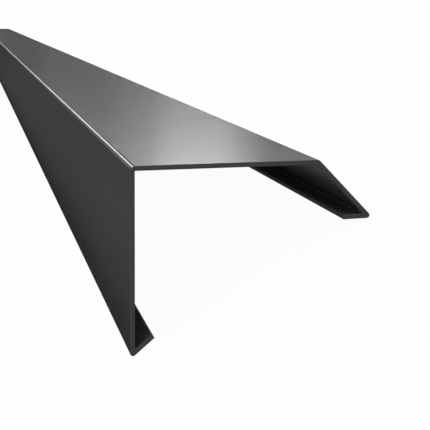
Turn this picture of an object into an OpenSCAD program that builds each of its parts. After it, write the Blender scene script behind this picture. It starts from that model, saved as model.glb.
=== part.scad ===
// Drip edge flashing: one run of coated metal stock, folded four times along its
// length. A flange caps the edge, a leg covers the fascia and ends in a lip turned
// in and up, and a sloping drip face ends in a short return turned back under it.
// Lengths are taken over the outer faces, to the points where those faces would
// meet if the bends were sharp. The run lies along Y, centred on the origin.

/* [Stock] */
// Length of the run
run_length = 2500; // [100:50:3000]
// Thickness of the metal
metal_t = 2; // [1.3:0.1:3]

/* [Flange and leg] */
// Width of the flange, from the leg's face to the crest
flange_w = 80; // [40:1:160]
// Height of the leg, from the flange's face down to the lip fold
leg_h = 81; // [50:1:160]
// Angle between the leg and the flange
corner_angle = 90; // [80:1:110]
// Length of the lip that is turned in at the foot of the leg
lip_l = 13.4; // [8:0.1:30]
// Angle between the lip and the leg
lip_angle = 50; // [35:1:90]

/* [Drip face] */
// Length of the sloping drip face
slope_l = 38; // [20:1:80]
// Fall of the drip face below the line of the flange
slope_angle = 44; // [30:1:70]
// Length of the return under the drip face
return_l = 14.4; // [10:0.1:30]
// Angle between the return and the drip face
return_angle = 44; // [35:1:90]

/* [Bends] */
// Radius in the inside corner of each bend
bend_inner_r = 0.4; // [0.1:0.05:1]
// Radius round the outside of the lip fold and the drip nose, which are pressed sharp
fold_outer_r = 1.25; // [0.5:0.05:1.9]

/* [Colour] */
// Anthracite grey of the coating
coat_color = "#3c3c3c";

/* [Hidden] */
ARC_SIDES = 96;
// How far the middle of a flat's metal runs on into its bends
RUN_ON = 0.1;

// The flats in order, from the lip's free edge to the return's, and the turn of
// each bend between them. Every bend turns the same way, to the inner side.
flat_l = [lip_l, leg_h, flange_w, slope_l, return_l];
bend_turn = [180 - lip_angle, 180 - corner_angle, slope_angle, 180 - return_angle];
last = len(flat_l) - 1;

// Radius round the outside of each bend. The corner and the crest are bent evenly, so
// that their inside and outside arcs share a centre. A fold is no rounder than they are,
// and no sharper than its metal allows: one flat's end stays behind the other's face.
even_outer_r = metal_t + bend_inner_r;
function sharpest_r(turn) = let(lean = max(0, -cos(turn))) metal_t * lean / (1 + lean);
sharpest_fold_r = max(sharpest_r(bend_turn[0]), sharpest_r(bend_turn[last - 1]));
fold_r = min(even_outer_r, max(sharpest_fold_r, fold_outer_r));
bend_outer_r = [fold_r, even_outer_r, even_outer_r, fold_r];

// How far the sharp outer corner of bend i lies past the start of the bend's outer arc
function trim(i) = i < 0 || i >= last ? 0 : bend_outer_r[i] * tan(bend_turn[i] / 2);

// Direction of each flat when the leg stands below a level flange
lip_heading = bend_turn[0] + bend_turn[1];
function heading(i) = i == 0 ? lip_heading : heading(i - 1) - bend_turn[i - 1];
function along(a, distance) = distance * [cos(a), sin(a)];

// Centre of the arc on the outside of bend i, measured from the lip's free edge
function corner(i) = along(heading(i), flat_l[i]) + (i == 0 ? [0, 0] : corner(i - 1));
function bend_centre(i) =
    corner(i) - along(heading(i), trim(i)) - along(heading(i) + 90, bend_outer_r[i]);

// At rest the run stands on its two folded edges, the lip fold and the drip nose,
// so it is rolled until the two bends touch the ground
lip_bend = bend_centre(0);
nose_bend = bend_centre(last - 1);
feet = nose_bend - lip_bend;
rest_roll = atan2(feet.y, feet.x);
rest_width = norm(feet) + 2 * fold_r;

// Wedge between the square ends of two flats with a bend of this turn between them.
// Its point is on the origin, and it reaches out to lines along both flats.
module wedge(turn, reach) {
    span = 4 * reach;
    intersection() {
        translate([0, -span]) square([span, span + reach]);
        rotate(-turn) translate([-span, -span]) square([span, span + reach]);
    }
}

// Bend with its outer arc centred on the origin. Behind a sharp fold the flats run into
// each other, and the fillet's wedge only fills their inside corner.
module bend(turn, outer_r) {
    inset = metal_t + bend_inner_r - outer_r;
    fillet_centre = [-inset * tan(turn / 2), -inset];
    difference() {
        union() {
            intersection() {
                circle(r = outer_r, $fn = ARC_SIDES);
                wedge(turn, 2 * outer_r);
            }
            translate(fillet_centre) wedge(turn, 2 * bend_inner_r);
        }
        translate(fillet_centre) circle(r = bend_inner_r, $fn = ARC_SIDES);
    }
}

// Flat i and all that is folded after it. The flat starts at the origin and runs
// along X, with its outer face on the X axis and its metal below. The middle half of
// the metal runs on into the bends, but not past a free edge.
module folded_from(i) {
    straight = flat_l[i] - trim(i - 1) - trim(i);
    before = i > 0 ? RUN_ON : 0;
    after = i < last ? RUN_ON : 0;
    translate([0, -metal_t]) square([straight, metal_t]);
    translate([-before, -0.75 * metal_t]) square([before + straight + after, metal_t / 2]);
    if (i < last)
        translate([straight, -bend_outer_r[i]]) {
            bend(bend_turn[i], bend_outer_r[i]);
            rotate(-bend_turn[i]) translate([0, bend_outer_r[i]]) folded_from(i + 1);
        }
}

// Cross-section as it rests, with the lip fold's arc centred on the origin
module section() {
    rotate(-rest_roll)
        translate(-lip_bend)
            rotate(lip_heading)
                folded_from(0);
}

module folded_profile() {
    color(coat_color)
        translate([fold_r - rest_width / 2, 0, fold_r])
            rotate([90, 0, 0])
                linear_extrude(run_length, center = true) section();
}

folded_profile();
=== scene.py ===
"""Drip edge flashing: one folded run of powder-coated metal, standing on a pale floor.

Everything is in metres in the part's own frame: +Y along the run, +Z up, the floor at zero.
Lengths and angles of the section are taken as on a folding drawing, over the outer faces and
to the points where those faces would meet if the bends were sharp.
"""
from math import atan2, cos, pi, radians, sin, tan

import bpy
from bpy.props import (
    FloatProperty,
    FloatVectorProperty,
    IntProperty,
    PointerProperty,
)
from mathutils import Matrix, Vector


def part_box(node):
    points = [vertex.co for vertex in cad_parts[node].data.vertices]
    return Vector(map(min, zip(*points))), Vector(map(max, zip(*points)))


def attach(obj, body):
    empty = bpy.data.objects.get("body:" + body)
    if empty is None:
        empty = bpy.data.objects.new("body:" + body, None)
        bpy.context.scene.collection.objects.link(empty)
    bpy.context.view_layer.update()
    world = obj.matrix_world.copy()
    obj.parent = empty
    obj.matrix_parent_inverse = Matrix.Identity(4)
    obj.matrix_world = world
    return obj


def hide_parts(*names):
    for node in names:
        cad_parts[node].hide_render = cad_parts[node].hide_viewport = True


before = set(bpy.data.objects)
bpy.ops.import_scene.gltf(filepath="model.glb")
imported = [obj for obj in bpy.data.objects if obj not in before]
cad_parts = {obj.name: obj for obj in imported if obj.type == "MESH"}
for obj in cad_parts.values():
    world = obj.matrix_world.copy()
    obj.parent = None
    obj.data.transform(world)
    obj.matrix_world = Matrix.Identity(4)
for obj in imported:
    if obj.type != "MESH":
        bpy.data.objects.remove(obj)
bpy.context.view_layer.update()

bl_info = {
    "name": "Drip edge flashing",
    "version": (1, 0, 0),
    "blender": (4, 5, 0),
    "location": "View3D > Sidebar > Flashing",
    "description": "Builds a folded drip edge flashing, its coating and its studio",
    "category": "Add Mesh",
}

MM = 0.001
QUARTER_TURN = radians(90)
CAD_NODE = "folded_profile"

# Names of the folding tree's inputs, in order from the lip's free edge to the return's
FLAT_INPUTS = ("Lip Length", "Leg Height", "Flange Width", "Drip Face Length", "Return Length")
TURN_INPUTS = ("Lip Turn", "Corner Turn", "Crest Turn", "Nose Turn")
SIZE_INPUTS = {
    "Run Length": "run_length",
    "Metal Thickness": "metal_t",
    "Lip Length": "lip_l",
    "Leg Height": "leg_h",
    "Flange Width": "flange_w",
    "Drip Face Length": "slope_l",
    "Return Length": "return_l",
    "Corner Radius": "corner_r",
    "Fold Radius": "fold_r",
    "Inside Bend Radius": "bend_inner_r",
    "Edge Radius": "edge_r",
}

# Points of the walk over the outer face, and of the outline that goes out over it and back
WALK_POINTS = len(FLAT_INPUTS) + 1
OUTLINE_POINTS = 2 * WALK_POINTS
# Points of the line along the run: its first and last stretches are turned in over the ends
LINE_POINTS = 4
# Length of those stretches, in edge radii, and flat strips in the rounding before them
CAP_LAND = 1.1
EDGE_STEPS = 6
WELD = 1e-6

# A noise rarely leaves this range
NOISE_RANGE = (0.3, 0.7)
# Scale of the slow changes of shade and of roughness, per metre, and the spread of the shade
CLOUD_SCALE = 9.0
PATCH_SCALE = 42.0
SHADE_SPREAD = 0.06

FLOOR_HALF = 20.0
# Height of the cards above the floor that they lie on
CARD_RISE = 0.0002
# From the near end to each softbox and to the end lamp
LAMP_DISTANCE = 8.0
END_LAMP_SIDE = 1.2
END_LAMP_RADIANCE = 32.0
# Width of the camera's sensor, in millimetres
SENSOR_WIDTH = 36.0

low_corner, high_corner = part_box(CAD_NODE)


def millimetres(name, description, size):
    """A length property that is written here in millimetres."""
    return FloatProperty(
        name=name, description=description, default=size * MM, min=0.0,
        subtype="DISTANCE", unit="LENGTH", precision=5,
    )


def angle(name, description, size):
    """An angle property that is written here in degrees."""
    return FloatProperty(
        name=name, description=description, default=radians(size), subtype="ANGLE",
    )


def share(name, description, size, most=1.0):
    """A property between nothing and a share of one."""
    return FloatProperty(
        name=name, description=description, default=size, min=0.0, max=most, subtype="FACTOR",
    )


def grey(name, description, level):
    """A colour property that starts as a neutral grey."""
    return FloatVectorProperty(
        name=name, description=description, subtype="COLOR", size=4,
        default=(level, level, level, 1.0), min=0.0, max=1.0,
    )


class FlashingSizes(bpy.types.PropertyGroup):
    """Sizes of the folded section and its run"""

    run_length: FloatProperty(
        name="Run length", description="Length of the run",
        default=high_corner.y - low_corner.y, min=0.1, subtype="DISTANCE", unit="LENGTH",
    )
    metal_t: millimetres("Metal thickness", "Thickness of the metal", 2.0)
    flange_w: millimetres(
        "Flange width", "Width of the flange, from the leg's face to the crest", 80.0,
    )
    leg_h: millimetres(
        "Leg height", "Height of the leg, from the flange down to the lip fold", 81.0,
    )
    corner_angle: angle("Corner angle", "Angle between the leg and the flange", 90.0)
    lip_l: millimetres("Lip length", "Length of the lip turned in at the foot of the leg", 13.4)
    lip_angle: angle("Lip angle", "Angle between the lip and the leg", 50.0)
    slope_l: millimetres("Drip face length", "Length of the sloping drip face", 38.0)
    slope_angle: angle(
        "Drip face fall", "Fall of the drip face below the line of the flange", 44.0,
    )
    return_l: millimetres("Return length", "Length of the return under the drip face", 14.4)
    return_angle: angle("Return angle", "Angle between the return and the drip face", 44.0)
    corner_r: millimetres(
        "Corner radius", "Radius round the outside of the corner and the crest", 2.4,
    )
    fold_r: millimetres(
        "Fold radius", "Radius round the outside of the lip fold and the drip nose", 1.25,
    )
    bend_inner_r: millimetres(
        "Inside bend radius", "Radius in the inside corner of each bend", 0.4,
    )
    edge_r: millimetres("Edge radius", "Rounding of the cut ends and the free edges", 0.2)
    bend_steps: IntProperty(
        name="Bend steps", description="Flat strips that make up each bend and free edge",
        default=12, min=2, max=32,
    )


class CoatingLook(bpy.types.PropertyGroup):
    """Look of the powder coating"""

    colour: grey("Colour", "Colour of the coating, anthracite grey", 0.045)
    roughness: share("Roughness", "Mean roughness of the satin coating", 0.22)
    roughness_spread: share(
        "Roughness spread", "How far the roughness wanders across a face", 0.01, most=0.3,
    )
    grain_size: millimetres(
        "Grain size", "Spacing of the fine bumps that powder coating flows into", 2.0,
    )
    grain_depth: millimetres("Grain depth", "Height of those bumps", 0.035)
    mark_size: millimetres(
        "Mark size", "Width of the faint marks that the rolls draw along the run", 2.0,
    )
    mark_stretch: FloatProperty(
        name="Mark stretch", description="Length of those marks, in widths", default=5.0, min=1.0,
    )
    mark_spread: share(
        "Mark spread", "How far the roughness changes from mark to mark", 0.028, most=0.3,
    )


class StudioSetup(bpy.types.PropertyGroup):
    """Floor, lights and camera"""

    floor_colour: grey("Floor colour", "Colour of the pale floor", 0.82)
    shadow_share: share(
        "Shadow share", "Share of the lit floor that shows through its plain white", 0.04,
    )
    floor_glow: share(
        "Floor glow", "Share of plain white that the floor gives back to the part", 0.1,
    )
    room_level: FloatProperty(
        name="Room level", description="Strength of the even light that fills the room",
        default=1.0, min=0.0,
    )
    lens: FloatProperty(
        name="Lens", description="Focal length in millimetres, on a sensor 36 mm wide",
        default=64.0, min=10.0,
    )


def bend_turns(sizes):
    """Turn of each bend on a walk over the outer face, from the lip to the return."""
    return {
        "Lip Turn": pi - sizes.lip_angle,
        "Corner Turn": pi - sizes.corner_angle,
        "Crest Turn": sizes.slope_angle,
        "Nose Turn": pi - sizes.return_angle,
    }


def along(heading):
    """Unit vector of a heading in the plane of the section."""
    return Vector((cos(heading), sin(heading)))


def fold_centres(sizes):
    """Centres of the two arcs that the run stands on, the lip fold's and the drip nose's.

    They are taken as the flashing hangs in use, with the leg plumb, and measured from the
    sharp outer corner of leg and flange.
    """
    turns = bend_turns(sizes)
    radius = sizes.fold_r
    lip = Vector((radius, radius * tan(turns["Lip Turn"] / 2) - sizes.leg_h))
    flange = QUARTER_TURN - turns["Corner Turn"]
    slope = flange - turns["Crest Turn"]
    slope_straight = sizes.slope_l - radius * tan(turns["Nose Turn"] / 2)
    nose_start = sizes.flange_w * along(flange) + slope_straight * along(slope)
    return lip, nose_start + radius * along(slope - QUARTER_TURN)


def rest_roll(sizes):
    """Turn from the flashing as it hangs in use to the flashing stood on its two folds."""
    lip, nose = fold_centres(sizes)
    feet = nose - lip
    return atan2(feet.y, feet.x)


def use_frame(sizes):
    """Matrix from the flashing as it hangs in use to the flashing as it stands at rest.

    In use the leg is plumb, and the origin is at the near end, on the sharp outer corner of
    leg and flange.
    """
    lip, _ = fold_centres(sizes)
    foot = Vector((low_corner.x + sizes.fold_r, low_corner.y, low_corner.z + sizes.fold_r))
    roll = Matrix.Rotation(rest_roll(sizes), 4, "Y")
    return Matrix.Translation(foot) @ roll @ Matrix.Translation((-lip.x, 0.0, -lip.y))


def feed(tree, socket, value):
    """Wires an input to another node's output, or gives it a value of its own."""
    if isinstance(value, bpy.types.NodeSocket):
        tree.links.new(value, socket)
    else:
        socket.default_value = value


def put(tree, kind, inputs=None, **settings):
    """Adds a node, sets its properties, then feeds its inputs. Returns the node."""
    node = tree.nodes.new(kind)
    for name, value in settings.items():
        setattr(node, name, value)
    for key, value in (inputs or {}).items():
        feed(tree, node.inputs[key], value)
    return node


def maths(tree, operation, *values):
    """Result of a Math node."""
    return put(tree, "ShaderNodeMath", dict(enumerate(values)), operation=operation).outputs[0]


def vectors(tree, operation, *values):
    """Result of a Vector Math node."""
    inputs = dict(enumerate(values))
    return put(tree, "ShaderNodeVectorMath", inputs, operation=operation).outputs[0]


def scaled(tree, vector, factor):
    """Vector times a number."""
    inputs = {0: vector, "Scale": factor}
    return put(tree, "ShaderNodeVectorMath", inputs, operation="SCALE").outputs[0]


def remap(tree, value, given, wanted):
    """Number carried from one range to another, and held inside it."""
    return put(tree, "ShaderNodeMapRange", {
        "Value": value, "From Min": given[0], "From Max": given[1],
        "To Min": wanted[0], "To Max": wanted[1],
    }).outputs[0]


def pick(tree, index, values):
    """Float that an index picks from a list."""
    node = tree.nodes.new("GeometryNodeIndexSwitch")
    node.data_type = "FLOAT"
    while len(node.index_switch_items) < len(values):
        node.index_switch_items.new()
    feed(tree, node.inputs["Index"], index)
    for i, value in enumerate(values):
        feed(tree, node.inputs[i + 1], value)
    return node.outputs[0]


def choose(tree, switch, when_false, when_true):
    """Float that a yes or no chooses."""
    inputs = {"Switch": switch, "False": when_false, "True": when_true}
    return put(tree, "GeometryNodeSwitch", inputs, input_type="FLOAT").outputs[0]


def sample(tree, points, value, index):
    """Vector that a field has at one of some points."""
    inputs = {"Geometry": points, "Value": value, "Index": index}
    return put(
        tree, "GeometryNodeSampleIndex", inputs, data_type="FLOAT_VECTOR",
    ).outputs[0]


def polar(tree, heading, length):
    """Vector of a given heading and length in the plane of the section."""
    x = maths(tree, "MULTIPLY", maths(tree, "COSINE", heading), length)
    y = maths(tree, "MULTIPLY", maths(tree, "SINE", heading), length)
    return put(tree, "ShaderNodeCombineXYZ", {"X": x, "Y": y}).outputs[0]


def placed(tree, geometry, **inputs):
    """Geometry put through a Transform node."""
    return put(tree, "GeometryNodeTransform", {"Geometry": geometry, **inputs}).outputs[0]


def rounded(tree, curve, steps, radius):
    """Curve with each of its corners made an arc."""
    inputs = {"Curve": curve, "Count": steps, "Radius": radius}
    return put(tree, "GeometryNodeFilletCurve", inputs, mode="POLY").outputs[0]


def curve_through(tree, count, place):
    """Open curve through a number of points, each at its own place."""
    line = put(tree, "GeometryNodeMeshLine", {"Count": count}).outputs[0]
    inputs = {"Geometry": line, "Position": place}
    line = put(tree, "GeometryNodeSetPosition", inputs).outputs[0]
    return put(tree, "GeometryNodeMeshToCurve", {"Mesh": line}).outputs[0]


def section_outline(tree, given):
    """Closed outline of the section in the XY plane, with every bend and edge rounded."""
    index = put(tree, "GeometryNodeInputIndex").outputs[0]
    flat = pick(tree, index, [given[name] for name in FLAT_INPUTS] + [0.0])
    turn = pick(tree, index, [0.0] + [given[name] for name in TURN_INPUTS] + [0.0])

    # A walk over the outer face: each point turns clockwise and steps one flat ahead
    turned = put(tree, "GeometryNodeAccumulateField", {"Value": turn}).outputs["Leading"]
    heading = maths(tree, "SUBTRACT", given["Lip Heading"], turned)
    step = polar(tree, heading, flat)
    place = put(
        tree, "GeometryNodeAccumulateField", {"Value": step}, data_type="FLOAT_VECTOR",
    ).outputs["Trailing"]

    # The inner face's corner lies one mitre away, square to the middle of the turn
    half_turn = maths(tree, "MULTIPLY", turn, 0.5)
    mitre = maths(tree, "DIVIDE", given["Metal Thickness"], maths(tree, "COSINE", half_turn))
    inward = maths(tree, "SUBTRACT", maths(tree, "ADD", heading, half_turn), QUARTER_TURN)
    inset = polar(tree, inward, mitre)

    # Out over the outer face and back over the inner one
    back = maths(tree, "SUBTRACT", float(OUTLINE_POINTS - 1), index)
    station = maths(tree, "MINIMUM", index, back)
    inside = maths(tree, "GREATER_THAN", index, WALK_POINTS - 0.5)
    walk = put(tree, "GeometryNodeMeshLine", {"Count": WALK_POINTS}).outputs[0]
    outer_corner = sample(tree, walk, place, station)
    shift = scaled(tree, sample(tree, walk, inset, station), inside)
    curve = curve_through(tree, OUTLINE_POINTS, vectors(tree, "ADD", outer_corner, shift))
    curve = put(tree, "GeometryNodeSetSplineCyclic", {"Geometry": curve, "Cyclic": True}).outputs[0]

    edge, fold, corner, inner = (given[name] for name in (
        "Edge Radius", "Fold Radius", "Corner Radius", "Inside Bend Radius"))
    outer_r = pick(tree, station, [edge, fold, corner, corner, fold, edge])
    inner_r = pick(tree, station, [edge, inner, inner, inner, inner, edge])
    radius = choose(tree, inside, outer_r, inner_r)
    curve = rounded(tree, curve, given["Bend Steps"], radius)
    return put(tree, "GeometryNodeSetCurveNormal", {"Curve": curve}, mode="Z_UP").outputs[0]


def run_line(tree, given, cap_inset):
    """Line along the run, turned in over each cut end: it is swept round the outline."""
    index = put(tree, "GeometryNodeInputIndex").outputs[0]
    is_far = maths(tree, "GREATER_THAN", index, LINE_POINTS / 2 - 0.5)
    last = float(LINE_POINTS - 1)
    from_end = maths(tree, "MINIMUM", index, maths(tree, "SUBTRACT", last, index))
    on_cap = maths(tree, "LESS_THAN", from_end, 0.5)
    far = maths(tree, "MULTIPLY", given["Run Length"], -1.0)
    place = put(tree, "ShaderNodeCombineXYZ", {
        "X": maths(tree, "MULTIPLY", on_cap, cap_inset),
        "Y": maths(tree, "MULTIPLY", is_far, far),
    }).outputs[0]
    return rounded(tree, curve_through(tree, LINE_POINTS, place), EDGE_STEPS, given["Edge Radius"])


def closed_run(tree, given):
    """The outline run out along +Z, with a filled cut end at each end of it."""
    outline = section_outline(tree, given)
    cap_inset = maths(tree, "MULTIPLY", given["Edge Radius"], CAP_LAND)
    wall = put(tree, "GeometryNodeCurveToMesh", {
        "Curve": outline, "Profile Curve": run_line(tree, given, cap_inset),
    }).outputs[0]

    # The cut ends are the outline, drawn in as far as the wall turns in over them
    normal = put(tree, "GeometryNodeInputNormal").outputs[0]
    inputs = {"Geometry": outline, "Offset": scaled(tree, normal, cap_inset)}
    rim = put(tree, "GeometryNodeSetPosition", inputs).outputs[0]
    cap = put(tree, "GeometryNodeFillCurve", {"Curve": rim}, mode="TRIANGLES").outputs[0]
    far_place = put(tree, "ShaderNodeCombineXYZ", {"Z": given["Run Length"]}).outputs[0]
    far_cap = placed(tree, cap, Translation=far_place)
    near_cap = put(tree, "GeometryNodeFlipFaces", {"Mesh": cap}).outputs[0]

    join = put(tree, "GeometryNodeJoinGeometry")
    for piece in (wall, near_cap, far_cap):
        tree.links.new(piece, join.inputs[0])
    inputs = {"Geometry": join.outputs[0], "Distance": WELD}
    body = put(tree, "GeometryNodeMergeByDistance", inputs).outputs[0]
    return put(tree, "GeometryNodeSetShadeSmooth", {"Geometry": body}).outputs[0]


def stood_up(tree, body):
    """The run laid along Y, centred in plan, with its section upright on the floor."""
    body = placed(tree, body, Rotation=(QUARTER_TURN, 0.0, 0.0))
    box = put(tree, "GeometryNodeBoundBox", {"Geometry": body}).outputs
    low = put(tree, "ShaderNodeSeparateXYZ", {0: box["Min"]}).outputs
    high = put(tree, "ShaderNodeSeparateXYZ", {0: box["Max"]}).outputs
    home = put(tree, "ShaderNodeCombineXYZ", {
        "X": maths(tree, "MULTIPLY", maths(tree, "ADD", low["X"], high["X"]), -0.5),
        "Y": maths(tree, "MULTIPLY", maths(tree, "ADD", low["Y"], high["Y"]), -0.5),
        "Z": maths(tree, "MULTIPLY", low["Z"], -1.0),
    }).outputs[0]
    return placed(tree, body, Translation=home)


def folding_tree():
    """Geometry Nodes tree that folds the section and runs it out to its length."""
    tree = bpy.data.node_groups.new("Folded run", "GeometryNodeTree")
    sockets = tree.interface
    sockets.new_socket("Geometry", in_out="INPUT", socket_type="NodeSocketGeometry")
    for name in (*SIZE_INPUTS, "Lip Heading", *TURN_INPUTS):
        sockets.new_socket(name, in_out="INPUT", socket_type="NodeSocketFloat")
    sockets.new_socket("Bend Steps", in_out="INPUT", socket_type="NodeSocketInt")
    sockets.new_socket("Coating", in_out="INPUT", socket_type="NodeSocketMaterial")
    sockets.new_socket("Geometry", in_out="OUTPUT", socket_type="NodeSocketGeometry")
    given = put(tree, "NodeGroupInput").outputs

    body = stood_up(tree, closed_run(tree, given))
    body = put(tree, "GeometryNodeRealizeInstances", {"Geometry": body}).outputs[0]
    inputs = {"Geometry": body, "Material": given["Coating"]}
    body = put(tree, "GeometryNodeSetMaterial", inputs).outputs[0]
    put(tree, "NodeGroupOutput", {"Geometry": body})
    return tree


def set_inputs(modifier, values):
    """Sets a Geometry Nodes modifier's inputs by their sockets' identifiers."""
    for item in modifier.node_group.interface.items_tree:
        if item.in_out == "INPUT" and item.name in values:
            modifier[item.identifier] = values[item.name]


def as_plain_mesh(piece, material):
    """Turns a piece's modifiers into its mesh, with one material, and takes them off."""
    state = bpy.context.evaluated_depsgraph_get()
    mesh = bpy.data.meshes.new_from_object(
        piece.evaluated_get(state), preserve_all_data_layers=True, depsgraph=state,
    )
    if not mesh.polygons:
        raise RuntimeError(f"{piece.name} came out empty")
    mesh.materials.clear()
    mesh.materials.append(material)
    mesh.polygons.foreach_set("material_index", [0] * len(mesh.polygons))
    piece.modifiers.clear()
    piece.data = mesh
    mesh.name = piece.name


def link(piece):
    """Puts a new object into the scene."""
    bpy.context.scene.collection.objects.link(piece)
    return piece


def noise(tree, place, scale, detail):
    """Noise of a scale per metre, with some octaves of finer detail."""
    inputs = {"Vector": place, "Scale": scale, "Detail": detail}
    return put(tree, "ShaderNodeTexNoise", inputs).outputs["Fac"]


def spread_about(tree, pattern, centre, spread):
    """Number that a noise moves up and down about a centre."""
    return remap(tree, pattern, NOISE_RANGE, (centre - spread, centre + spread))


def powder_coating(look):
    """Satin powder coating: fine flowed grain, and faint marks drawn along the run."""
    material = bpy.data.materials.new("anthracite powder coating")
    material.use_nodes = True
    tree = material.node_tree
    shader = tree.nodes["Principled BSDF"].inputs
    place = put(tree, "ShaderNodeTexCoord").outputs["Object"]

    clouds = noise(tree, place, CLOUD_SCALE, 3.0)
    shade = spread_about(tree, clouds, 1.0, SHADE_SPREAD)
    feed(tree, shader["Base Color"], scaled(tree, look.colour[:3], shade))

    drawn_out = vectors(tree, "MULTIPLY", place, (1.0, 1.0 / look.mark_stretch, 1.0))
    marks = noise(tree, drawn_out, 1.0 / look.mark_size, 1.0)
    marked = spread_about(tree, marks, look.roughness, look.mark_spread)
    patches = noise(tree, place, PATCH_SCALE, 4.0)
    wander = spread_about(tree, patches, 0.0, look.roughness_spread)
    feed(tree, shader["Roughness"], maths(tree, "ADD", marked, wander))

    grain = noise(tree, place, 1.0 / look.grain_size, 2.0)
    bumps = {"Height": grain, "Distance": look.grain_depth, "Strength": 1.0}
    feed(tree, shader["Normal"], put(tree, "ShaderNodeBump", bumps).outputs[0])
    return material


class FLASHING_OT_folded_profile(bpy.types.Operator):
    """Fold the flashing from its sizes, coat it and stand it on the floor"""

    bl_idname = "flashing.folded_profile"
    bl_label = "Folded profile"
    bl_options = {"REGISTER", "UNDO"}

    def execute(self, context):
        sizes = context.scene.flashing_sizes
        turns = bend_turns(sizes)
        coating = powder_coating(context.scene.flashing_coating)
        piece = link(bpy.data.objects.new("coated_profile", bpy.data.meshes.new("coated_profile")))
        folding = piece.modifiers.new("Folding", "NODES")
        folding.node_group = folding_tree()
        set_inputs(folding, {
            **{name: getattr(sizes, field) for name, field in SIZE_INPUTS.items()},
            **turns,
            "Lip Heading": QUARTER_TURN + turns["Lip Turn"] - rest_roll(sizes),
            "Bend Steps": sizes.bend_steps,
            "Coating": coating,
        })
        # Broad flats keep their own normals, so that they stay flat beside their bends
        piece.modifiers.new("Flat faces", "WEIGHTED_NORMAL")
        as_plain_mesh(piece, coating)

        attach(piece, "root")
        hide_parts(CAD_NODE)
        return {"FINISHED"}


class FLASHING_OT_stage(bpy.types.Operator):
    """Lay the pale floor and set the cards, the room's light, the lamps and the camera"""

    bl_idname = "flashing.stage"
    bl_label = "Studio"
    bl_options = {"REGISTER", "UNDO"}

    def execute(self, context):
        scene = context.scene
        studio = scene.flashing_studio
        sizes = scene.flashing_sizes
        scene.view_settings.view_transform = "Standard"
        pale_floor(studio)
        sheen_cards()
        inside_fill(sizes)
        room_light(scene, studio)
        softboxes(sizes)
        strip_lights()
        end_lamp()
        photo_camera(scene, sizes, studio)
        return {"FINISHED"}


def stage_material(name):
    """Material of a stage piece, with nothing in its tree yet."""
    material = bpy.data.materials.new(name)
    material.use_nodes = True
    material.node_tree.nodes.clear()
    return material


def flat_piece(name, corners, material):
    """One flat stage piece through four corners."""
    mesh = bpy.data.meshes.new(name)
    mesh.from_pydata(corners, [], [(0, 1, 2, 3)])
    mesh.materials.append(material)
    piece = link(bpy.data.objects.new(name, mesh))
    return piece


def level_corners(x_range, y_range, height):
    """Corners of a level rectangle."""
    (x0, x1), (y0, y1) = x_range, y_range
    return [(x0, y0, height), (x1, y0, height), (x1, y1, height), (x0, y1, height)]


def upright_corners(start, end, z_range):
    """Corners of an upright rectangle over a line on the floor."""
    (x0, y0), (x1, y1), (z0, z1) = start, end, z_range
    return [(x0, y0, z0), (x1, y1, z0), (x1, y1, z1), (x0, y0, z1)]


def pale_floor(studio):
    """Floor that shows as plain white with a soft share of its shadows."""
    material = stage_material("pale floor")
    tree = material.node_tree
    lit = put(tree, "ShaderNodeBsdfDiffuse", {"Color": studio.floor_colour}).outputs[0]
    plain = put(tree, "ShaderNodeEmission", {"Strength": 1.0}).outputs[0]
    seen = put(tree, "ShaderNodeLightPath").outputs["Is Camera Ray"]
    plain_share = remap(tree, seen, (0.0, 1.0), (studio.floor_glow, 1.0 - studio.shadow_share))
    mix = put(tree, "ShaderNodeMixShader", {0: plain_share, 1: lit, 2: plain}).outputs[0]
    put(tree, "ShaderNodeOutputMaterial", {"Surface": mix})
    reach = (-FLOOR_HALF, FLOOR_HALF)
    flat_piece("floor", level_corners(reach, reach, 0.0), material)


def card(name, level, corners):
    """Card of even grey that shows only in the part's sheen, and lights nothing."""
    material = stage_material(name)
    material.cycles.emission_sampling = "NONE"
    shine = put(material.node_tree, "ShaderNodeEmission", {"Strength": level}).outputs[0]
    put(material.node_tree, "ShaderNodeOutputMaterial", {"Surface": shine})
    piece = flat_piece(name, corners, material)
    piece.visible_camera = False
    piece.visible_diffuse = False
    piece.visible_transmission = False
    piece.visible_shadow = False
    return piece


def sheen_cards():
    """Cards beside, behind and under the part, which give its coating a dark room to mirror."""
    near, end = low_corner.y, high_corner.y
    foot, nose = low_corner.x, high_corner.x
    left, right, front, back = -1.2, 9.0, near - 0.8, 9.0
    beside, close, touching = foot - 0.15, foot - 0.05, foot - 0.015

    # Level, from and to across the run, from and to along it
    floor_cards = {
        "left floor card": (0.055, (left, beside), (near, end)),
        "left near card": (0.08, (beside, close), (near, end)),
        # The foot cards are darker than the floor cards beside them. They are a painted shadow of
        # the part on the floor where it stands, which the leg mirrors in its sheen.
        "foot card": (0.043, (close, touching), (near, end)),
        "foot strip card": (0.0, (touching, foot), (near, end)),
        "inside card": (0.12, (foot, nose), (near, end)),
        "right floor card": (0.14, (nose, right), (near, end)),
        "far left card": (0.055, (left, foot), (end, back)),
        "far right card": (0.0, (foot, right), (end, back)),
        "front card": (0.0, (left, right), (front, near)),
    }
    for name, (level, x_range, y_range) in floor_cards.items():
        card(name, level, level_corners(x_range, y_range, CARD_RISE))

    # Level, start and end on the floor, from and to in height
    left_wall = (left, near), (left, back)
    back_wall = (left, back), (right, back)
    top = 6.0
    wall_cards = {
        "left low card": (0.056, *left_wall, (0.0, 1.0)),
        "left high card": (0.46, *left_wall, (1.0, top)),
        "back low card": (0.013, *back_wall, (0.0, 0.8)),
        "back high card": (0.27, *back_wall, (0.8, top)),
    }
    for name, (level, start, end_point, z_range) in wall_cards.items():
        card(name, level, upright_corners(start, end_point, z_range))


def inside_fill(sizes):
    """Card hung under the flange, which gives the folds below it what a lit underside would."""
    across = (sizes.flange_w / 2, sizes.flange_w)
    # Half a thickness of metal clear of the flange's underside
    depth = 1.5 * sizes.metal_t
    corners = level_corners(across, (0.0, sizes.run_length), -depth)
    hang = use_frame(sizes)
    fill = card("inside fill", 0.4, [hang @ Vector(corner) for corner in corners])
    fill.visible_diffuse = True
    fill.visible_glossy = False


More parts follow.
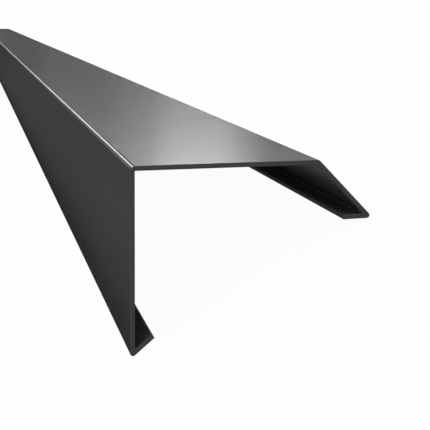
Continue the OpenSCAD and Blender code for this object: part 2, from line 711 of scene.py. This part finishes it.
def room_light(scene, studio):
    """Even light from a white room."""
    world = bpy.data.worlds.new("room")
    scene.world = world
    world.use_nodes = True
    background = world.node_tree.nodes["Background"]
    background.inputs["Color"].default_value = (1.0, 1.0, 1.0, 1.0)
    background.inputs["Strength"].default_value = studio.room_level


def lamp(name, place, width, height, radiance):
    """Rectangular lamp that shines along its own -Z and shows only in the sheen."""
    data = bpy.data.lights.new(name, "AREA")
    data.shape = "RECTANGLE"
    data.size, data.size_y = width, height
    data.energy = radiance * width * height * pi
    piece = link(bpy.data.objects.new(name, data))
    piece.matrix_world = place
    piece.visible_camera = False
    piece.visible_diffuse = False
    return piece


def softboxes(sizes):
    """Soft lamps beyond the far end, which the flange mirrors as its broad sheen."""
    # Azimuth right of the run, elevation over the flange, width and height, all in degrees as
    # seen from the near corner in use, and radiance
    boxes = {
        "key softbox": (17.2, 16.4, 7.0, 4.0, 6.4),
        "side softbox": (20.3, 15.0, 19.6, 4.6, 1.4),
        "low softbox": (12.0, 11.0, 14.2, 2.0, 1.4),
    }
    hang = use_frame(sizes)
    for name, (azimuth, elevation, width, height, radiance) in boxes.items():
        a, e = radians(azimuth), radians(elevation)
        ahead = Vector((sin(a) * cos(e), cos(a) * cos(e), sin(e)))
        facing = (-ahead).to_track_quat("-Z", "Y")
        stand = Matrix.LocRotScale(LAMP_DISTANCE * ahead, facing, None)
        spans = [2 * LAMP_DISTANCE * tan(radians(part) / 2) for part in (width, height)]
        lamp(name, hang @ stand, *spans, radiance)


def strip_lights():
    """Level lights in a row, over the run and on past it, which draw a line on the corner bend."""
    # Middle, width, length and radiance
    strips = {
        "near strip light": ((0.12, 2.45, 1.05), 0.25, 3.9, 5.8),
        "far strip light": ((0.12, 5.95, 1.05), 0.25, 3.1, 3.8),
    }
    for name, (middle, width, length, radiance) in strips.items():
        lamp(name, Matrix.Translation(middle), width, length, radiance)


def end_lamp():
    """Lamp square on to the near cut end, edge on to the long faces, which it leaves alone."""
    place = Matrix.Translation((0.0, low_corner.y - LAMP_DISTANCE, 0.0))
    facing = Matrix.Rotation(QUARTER_TURN, 4, "X")
    piece = lamp("end lamp", place @ facing, END_LAMP_SIDE, END_LAMP_SIDE, END_LAMP_RADIANCE)
    piece.visible_diffuse = True
    piece.visible_glossy = False


def photo_camera(scene, sizes, studio):
    """Camera at the photograph's place, placed from the flashing as it hangs in use."""
    data = bpy.data.cameras.new("camera")
    data.sensor_width = SENSOR_WIDTH
    data.lens = studio.lens
    data.clip_start = 0.01
    data.clip_end = 100.0
    camera = link(bpy.data.objects.new("camera", data))
    eye = Vector((-57.0, -285.6, 56.3)) * MM
    yaw, pitch, tilt = radians(17.85), radians(-14.5), radians(1.49)
    look = (
        Matrix.Rotation(-yaw, 4, "Z") @ Matrix.Rotation(QUARTER_TURN + pitch, 4, "X")
        @ Matrix.Rotation(tilt, 4, "Z")
    )
    camera.matrix_world = use_frame(sizes) @ Matrix.Translation(eye) @ look
    scene.camera = camera


class FLASHING_PT_panel(bpy.types.Panel):
    """Sidebar panel with the flashing's sizes, its look and its studio"""

    bl_idname = "FLASHING_PT_panel"
    bl_label = "Drip edge flashing"
    bl_space_type = "VIEW_3D"
    bl_region_type = "UI"
    bl_category = "Flashing"

    def draw(self, context):
        scene = context.scene
        groups = (
            (scene.flashing_sizes, FLASHING_OT_folded_profile),
            (scene.flashing_coating, None),
            (scene.flashing_studio, FLASHING_OT_stage),
        )
        for group, operator in groups:
            box = self.layout.box()
            for name in group.__annotations__:
                box.prop(group, name)
            if operator:
                box.operator(operator.bl_idname)


CLASSES = (
    FlashingSizes,
    CoatingLook,
    StudioSetup,
    FLASHING_OT_folded_profile,
    FLASHING_OT_stage,
    FLASHING_PT_panel,
)


def register():
    for cls in CLASSES:
        bpy.utils.register_class(cls)
    bpy.types.Scene.flashing_sizes = PointerProperty(type=FlashingSizes)
    bpy.types.Scene.flashing_coating = PointerProperty(type=CoatingLook)
    bpy.types.Scene.flashing_studio = PointerProperty(type=StudioSetup)


def unregister():
    del bpy.types.Scene.flashing_studio
    del bpy.types.Scene.flashing_coating
    del bpy.types.Scene.flashing_sizes
    for cls in reversed(CLASSES):
        bpy.utils.unregister_class(cls)


def main():
    """Builds the piece and its studio."""
    register()
    bpy.ops.flashing.folded_profile()
    bpy.ops.flashing.stage()


if __name__ == "__main__":
    main()
